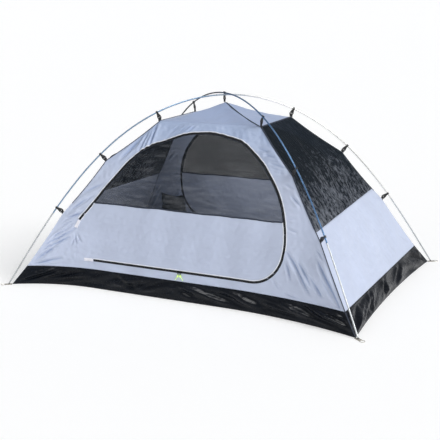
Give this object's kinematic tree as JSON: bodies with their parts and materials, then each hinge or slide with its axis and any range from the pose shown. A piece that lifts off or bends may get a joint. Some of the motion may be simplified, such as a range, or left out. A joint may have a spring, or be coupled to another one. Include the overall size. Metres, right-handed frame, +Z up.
{
  "type": "dome tent",
  "caption": "Free-standing dome tent inner: pole arches, clips, black tub floor, pale cloth walls, mesh windows and D-shaped doors with zips.",
  "frame": {"origin": "centre of the floor, on the ground", "axes": "+X along the tent, +Z up; the front door faces -Y"},
  "size_m": [2.28, 1.5986, 1.1294],
  "materials": {
    "canopy_cloth": "pale lavender-grey coated polyester, satin",
    "tub_cloth": "black coated polyester, slightly glossy",
    "mesh": "black insect mesh",
    "zip": "black nylon coil and tape",
    "zip_metal": "black enamelled zinc",
    "pull_cord": "neon green braided cord",
    "clip_plastic": "black moulded acetal",
    "webbing": "black woven webbing",
    "steel": "plated steel",
    "pole_blue": "light blue anodised aluminium tube",
    "pole_silver": "silver anodised aluminium tube",
    "tip_plastic": "black nylon",
    "shock_cord": "white elastic cord"
  },
  "bodies": {
    "tent": {"groundsheet": "tub_cloth", "front_tub_wall": "tub_cloth", "back_tub_wall": "tub_cloth", "right_tub_wall": "tub_cloth", "left_tub_wall": "tub_cloth", "front_panel": "canopy_cloth", "back_panel": "canopy_cloth", "front_zip_chain": "zip", "back_zip_chain": "zip", "right_end_panel": "canopy_cloth", "left_end_panel": "canopy_cloth", "right_end_mesh": "mesh", "left_end_mesh": "mesh", "roof_panel": "canopy_cloth", "lower_pole_foot_sections": "pole_silver", "lower_pole_lower_sections": "pole_blue", "lower_pole_upper_sections": "pole_blue", "lower_pole_crown_section": "pole_blue", "upper_pole_foot_sections": "pole_silver", "upper_pole_lower_sections": "pole_blue", "upper_pole_upper_sections": "pole_blue", "upper_pole_crown_section": "pole_blue", "pole_ferrules": "pole_silver", "pole_shock_cords": "shock_cord", "pole_tips": "tip_plastic", "clip_webbing_tabs": "webbing", "corner_straps": "webbing", "corner_grommets": "steel", "stake_rings": "steel", "mesh_pockets": "mesh"},
    "front_door": {"front_door": "canopy_cloth", "front_door_mesh": "mesh"},
    "back_door": {"back_door": "canopy_cloth", "back_door_mesh": "mesh"},
    "front_left_slider": {"front_left_slider": "zip_metal"},
    "front_left_pull": {"front_left_pull": "zip_metal", "front_left_pull_cord": "pull_cord"},
    "front_right_slider": {"front_right_slider": "zip_metal"},
    "front_right_pull": {"front_right_pull": "zip_metal", "front_right_pull_cord": "pull_cord"},
    "back_left_slider": {"back_left_slider": "zip_metal"},
    "back_left_pull": {"back_left_pull": "zip_metal", "back_left_pull_cord": "pull_cord"},
    "back_right_slider": {"back_right_slider": "zip_metal"},
    "back_right_pull": {"back_right_pull": "zip_metal", "back_right_pull_cord": "pull_cord"},
    "front_left_top_clip": {"front_left_top_clip": "clip_plastic"},
    "front_left_middle_clip": {"front_left_middle_clip": "clip_plastic"},
    "front_left_low_clip": {"front_left_low_clip": "clip_plastic"},
    "front_right_top_clip": {"front_right_top_clip": "clip_plastic"},
    "front_right_middle_clip": {"front_right_middle_clip": "clip_plastic"},
    "front_right_low_clip": {"front_right_low_clip": "clip_plastic"},
    "back_right_top_clip": {"back_right_top_clip": "clip_plastic"},
    "back_right_middle_clip": {"back_right_middle_clip": "clip_plastic"},
    "back_right_low_clip": {"back_right_low_clip": "clip_plastic"},
    "back_left_top_clip": {"back_left_top_clip": "clip_plastic"},
    "back_left_middle_clip": {"back_left_middle_clip": "clip_plastic"},
    "back_left_low_clip": {"back_left_low_clip": "clip_plastic"},
    "crown_clip": {"crown_clip": "clip_plastic"}
  },
  "joints": [
    {"name": "front_door_hinge", "type": "hinge", "parent": "tent", "child": "front_door", "pos_m": [-0.705, -0.6009, 0.165], "axis": [0, -0.1517, -0.9884], "range_deg": [0, 105]},
    {"name": "back_door_hinge", "type": "hinge", "parent": "tent", "child": "back_door", "pos_m": [0.705, 0.6009, 0.165], "axis": [0, 0.1517, -0.9884], "range_deg": [0, 105]},
    {"name": "front_left_slider_slide", "type": "slide", "parent": "tent", "child": "front_left_slider", "axis": [-1, 0, 0], "range_m": [0, 0.45]},
    {"name": "front_left_pull_swing", "type": "hinge", "parent": "front_left_slider", "child": "front_left_pull", "pos_m": [-0.0255, -0.59678, 0.16627], "axis": [-1, 0, 0], "range_deg": [0, 150]},
    {"name": "front_right_slider_slide", "type": "slide", "parent": "tent", "child": "front_right_slider", "axis": [1, 0, 0], "range_m": [0, 0.2]},
    {"name": "front_right_pull_swing", "type": "hinge", "parent": "front_right_slider", "child": "front_right_pull", "pos_m": [-0.0105, -0.59678, 0.16627], "axis": [-1, 0, 0], "range_deg": [0, 150]},
    {"name": "back_left_slider_slide", "type": "slide", "parent": "tent", "child": "back_left_slider", "axis": [1, 0, 0], "range_m": [0, 0.45]},
    {"name": "back_left_pull_swing", "type": "hinge", "parent": "back_left_slider", "child": "back_left_pull", "pos_m": [0.0255, 0.59678, 0.16627], "axis": [1, 0, 0], "range_deg": [0, 150]},
    {"name": "back_right_slider_slide", "type": "slide", "parent": "tent", "child": "back_right_slider", "axis": [-1, 0, 0], "range_m": [0, 0.2]},
    {"name": "back_right_pull_swing", "type": "hinge", "parent": "back_right_slider", "child": "back_right_pull", "pos_m": [0.0105, 0.59678, 0.16627], "axis": [1, 0, 0], "range_deg": [0, 150]},
    {"name": "front_left_top_clip_hinge", "type": "hinge", "parent": "tent", "child": "front_left_top_clip", "pos_m": [-0.32888, -0.22933, 0.98428], "axis": [0.7429, 0.518, 0.424], "range_deg": [0, 70]},
    {"name": "front_left_middle_clip_hinge", "type": "hinge", "parent": "tent", "child": "front_left_middle_clip", "pos_m": [-0.60167, -0.41955, 0.75109], "axis": [0.5957, 0.4154, 0.6875], "range_deg": [0, 70]},
    {"name": "front_left_low_clip_hinge", "type": "hinge", "parent": "tent", "child": "front_left_low_clip", "pos_m": [-0.82126, -0.57266, 0.44196], "axis": [0.4874, 0.3399, 0.8043], "range_deg": [0, 70]},
    {"name": "front_right_top_clip_hinge", "type": "hinge", "parent": "tent", "child": "front_right_top_clip", "pos_m": [0.33003, -0.23013, 0.9927], "axis": [-0.742, 0.5174, 0.4263], "range_deg": [0, 70]},
    {"name": "front_right_middle_clip_hinge", "type": "hinge", "parent": "tent", "child": "front_right_middle_clip", "pos_m": [0.60318, -0.4206, 0.75742], "axis": [-0.5932, 0.4136, 0.6907], "range_deg": [0, 70]},
    {"name": "front_right_low_clip_hinge", "type": "hinge", "parent": "tent", "child": "front_right_low_clip", "pos_m": [0.82235, -0.57342, 0.44574], "axis": [-0.4838, 0.3374, 0.8075], "range_deg": [0, 70]},
    {"name": "back_right_top_clip_hinge", "type": "hinge", "parent": "tent", "child": "back_right_top_clip", "pos_m": [0.32888, 0.22933, 0.98428], "axis": [0.7429, 0.518, -0.424], "range_deg": [0, 70]},
    {"name": "back_right_middle_clip_hinge", "type": "hinge", "parent": "tent", "child": "back_right_middle_clip", "pos_m": [0.60167, 0.41955, 0.75109], "axis": [0.5957, 0.4154, -0.6875], "range_deg": [0, 70]},
    {"name": "back_right_low_clip_hinge", "type": "hinge", "parent": "tent", "child": "back_right_low_clip", "pos_m": [0.82126, 0.57266, 0.44196], "axis": [0.4874, 0.3399, -0.8043], "range_deg": [0, 70]},
    {"name": "back_left_top_clip_hinge", "type": "hinge", "parent": "tent", "child": "back_left_top_clip", "pos_m": [-0.33003, 0.23013, 0.9927], "axis": [-0.742, 0.5174, -0.4263], "range_deg": [0, 70]},
    {"name": "back_left_middle_clip_hinge", "type": "hinge", "parent": "tent", "child": "back_left_middle_clip", "pos_m": [-0.60318, 0.4206, 0.75742], "axis": [-0.5932, 0.4136, -0.6907], "range_deg": [0, 70]},
    {"name": "back_left_low_clip_hinge", "type": "hinge", "parent": "tent", "child": "back_left_low_clip", "pos_m": [-0.82235, 0.57342, 0.44574], "axis": [-0.4838, 0.3374, -0.8075], "range_deg": [0, 70]},
    {"name": "crown_clip_hinge", "type": "hinge", "parent": "tent", "child": "crown_clip", "pos_m": [-0.0142, 0.0099, 1.08513], "axis": [-0.8201, 0.5719, -0.0191], "range_deg": [0, 70]}
  ]
}
